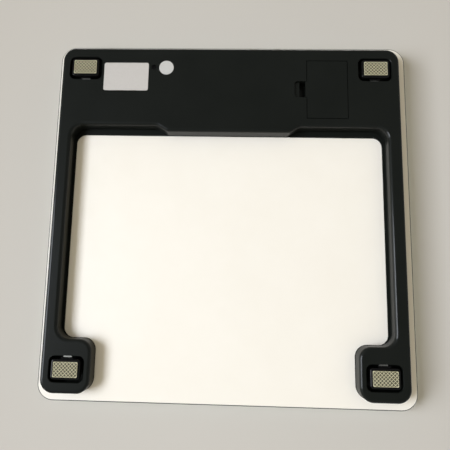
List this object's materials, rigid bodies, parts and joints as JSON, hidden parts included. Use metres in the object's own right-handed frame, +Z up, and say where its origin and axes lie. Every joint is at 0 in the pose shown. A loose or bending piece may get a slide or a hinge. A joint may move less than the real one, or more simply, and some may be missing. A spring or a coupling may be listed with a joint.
{
  "type": "digital bathroom scale",
  "caption": "Square glass platform bonded to a black U-shaped casing with sprung load-cell feet, a hinged battery door and a recessed unit button.",
  "frame": {"origin": "centre of the platform's outline, on the floor the foot pads stand on", "axes": "+Z up through the glass, +Y towards the display end, +X to the right of a person standing on it and facing the display"},
  "size_m": [0.3, 0.3, 0.0215],
  "materials": {
    "glass": "clear tempered glass, polished edge",
    "print": "cream-white ceramic ink on the back of the glass",
    "casing": "fine-grained black moulding",
    "cap": "smooth black moulding",
    "pad": "beige, diamond knurl",
    "steel": "bright strip steel",
    "anchor": "plain moulding",
    "tape": "foam adhesive tape",
    "gauge": "potted cover",
    "lead": "plain black insulation",
    "lead_red": "plain red insulation",
    "cell_jacket": "plain foil jacket",
    "plated": "nickel-plated spring steel",
    "board": "green solder mask",
    "chip": "epoxy drop",
    "component": "plain bodies",
    "socket": "plain moulding",
    "frame_white": "plain moulding",
    "backlight": "milky light guide",
    "lcd": "grey-green panel",
    "zebra": "striped silicone",
    "gasket": "foam",
    "button": "plain moulding",
    "switch": "plain moulding",
    "label": "bare printed-film label",
    "sticker": "bare round sticker"
  },
  "bodies": {
    "casing": {"glass_platform": "glass", "back_print": "print", "base_casing": "casing", "bond_tape": "tape", "load_cell_display_left": "steel", "cell_anchor_display_left": "anchor", "sensor_lead_display_left": "lead", "load_cell_display_right": "steel", "cell_anchor_display_right": "anchor", "sensor_lead_display_right": "lead", "load_cell_heel_left": "steel", "cell_anchor_heel_left": "anchor", "sensor_lead_heel_left": "lead", "load_cell_heel_right": "steel", "cell_anchor_heel_right": "anchor", "sensor_lead_heel_right": "lead", "strain_gauges": "gauge", "battery_cell_1": "cell_jacket", "battery_cell_2": "cell_jacket", "battery_cell_3": "cell_jacket", "battery_contacts": "plated", "battery_springs": "plated", "battery_lead_plus": "lead_red", "battery_lead_minus": "lead", "circuit_board": "board", "board_screws": "steel", "controller_chip": "chip", "board_components": "component", "lead_sockets": "socket", "display_frame": "frame_white", "backlight_panel": "backlight", "lcd_panel": "lcd", "zebra_strips": "zebra", "display_gasket": "gasket", "unit_switch": "switch", "rating_label": "label", "inspection_sticker": "sticker"},
    "battery_door": {"battery_door": "casing"},
    "unit_button": {"unit_button": "button", "switch_plunger": "button"},
    "foot_display_left": {"foot_cap_display_left": "cap", "foot_pad_display_left": "pad"},
    "foot_display_right": {"foot_cap_display_right": "cap", "foot_pad_display_right": "pad"},
    "foot_heel_left": {"foot_cap_heel_left": "cap", "foot_pad_heel_left": "pad"},
    "foot_heel_right": {"foot_cap_heel_right": "cap", "foot_pad_heel_right": "pad"}
  },
  "joints": [
    {"name": "battery_door_hinge", "type": "hinge", "parent": "casing", "child": "battery_door", "pos_m": [-0.09775, 0.1064, 0.0023], "axis": [0, 1, 0], "range_deg": [0, 80]},
    {"name": "unit_button_press", "type": "slide", "parent": "casing", "child": "unit_button", "axis": [0, 0, 1], "range_m": [0, 0.0004], "stiffness_N_per_m": 800},
    {"name": "foot_display_left_press", "type": "slide", "parent": "casing", "child": "foot_display_left", "axis": [0, 0, 1], "range_m": [0, 0.0006], "stiffness_N_per_m": 20000, "springref_m": -0.0003, "deforming": ["load_cell_display_left"]},
    {"name": "foot_display_right_press", "type": "slide", "parent": "casing", "child": "foot_display_right", "axis": [0, 0, 1], "range_m": [0, 0.0006], "stiffness_N_per_m": 20000, "springref_m": -0.0003, "deforming": ["load_cell_display_right"]},
    {"name": "foot_heel_left_press", "type": "slide", "parent": "casing", "child": "foot_heel_left", "axis": [0, 0, 1], "range_m": [0, 0.0006], "stiffness_N_per_m": 20000, "springref_m": -0.0003, "deforming": ["load_cell_heel_left"]},
    {"name": "foot_heel_right_press", "type": "slide", "parent": "casing", "child": "foot_heel_right", "axis": [0, 0, 1], "range_m": [0, 0.0006], "stiffness_N_per_m": 20000, "springref_m": -0.0003, "deforming": ["load_cell_heel_right"]}
  ]
}
